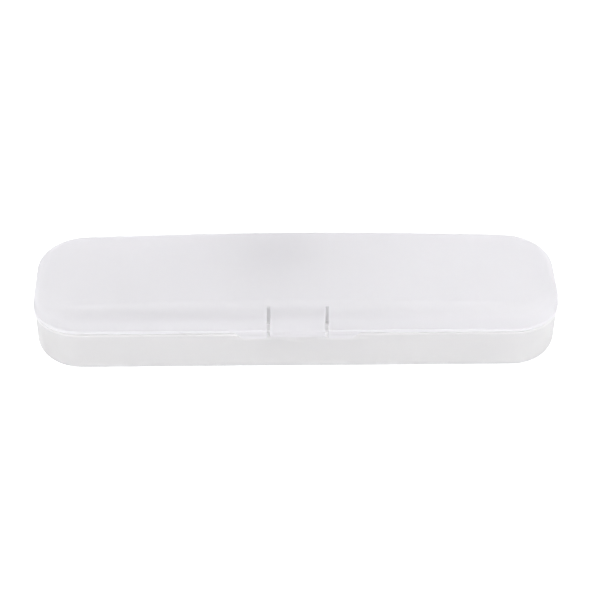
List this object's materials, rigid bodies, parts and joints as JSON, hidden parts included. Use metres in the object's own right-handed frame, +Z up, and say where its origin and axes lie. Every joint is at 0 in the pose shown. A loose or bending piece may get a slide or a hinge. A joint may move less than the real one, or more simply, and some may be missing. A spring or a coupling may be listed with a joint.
{
  "type": "electric toothbrush travel case",
  "caption": "Long rounded travel case of frosted plastic for an electric toothbrush: a deep tray, a crowned lid on a pinned rear hinge and a flexing front latch tongue.",
  "frame": {"origin": "middle of the tray's flat underside, with the two shells centred on it in X and Y; the hinge barrels stand out past the shells at +Y", "axes": "+X along the case, +Y towards the hinge (the latch faces -Y), +Z up through the lid"},
  "size_m": [0.235, 0.0692, 0.0362],
  "materials": {
    "tray_plastic": "frosted, faintly translucent polypropylene",
    "lid_plastic": "frosted, faintly translucent polypropylene",
    "insert_plastic": "plain moulded polypropylene",
    "pin_steel": "drawn stainless wire"
  },
  "bodies": {
    "tray": {"tray_shell": "tray_plastic", "hinge_pin": "pin_steel", "handle_saddle_left": "insert_plastic", "handle_saddle_middle": "insert_plastic", "neck_saddle": "insert_plastic", "centre_divider": "insert_plastic", "head_post_left": "insert_plastic", "head_post_right": "insert_plastic"},
    "lid": {"lid_shell": "lid_plastic"},
    "tongue": {"latch_tongue": "lid_plastic"}
  },
  "joints": [
    {"name": "lid_hinge", "type": "hinge", "parent": "tray", "child": "lid", "pos_m": [0, 0.03455, 0.0222], "axis": [-1, 0, 0], "range_deg": [0, 180]},
    {"name": "tongue_flex", "type": "hinge", "parent": "lid", "child": "tongue", "pos_m": [0, -0.02897, 0.03463], "axis": [-1, 0, 0], "range_deg": [0, 10], "stiffness_Nm_per_rad": 0.2}
  ]
}
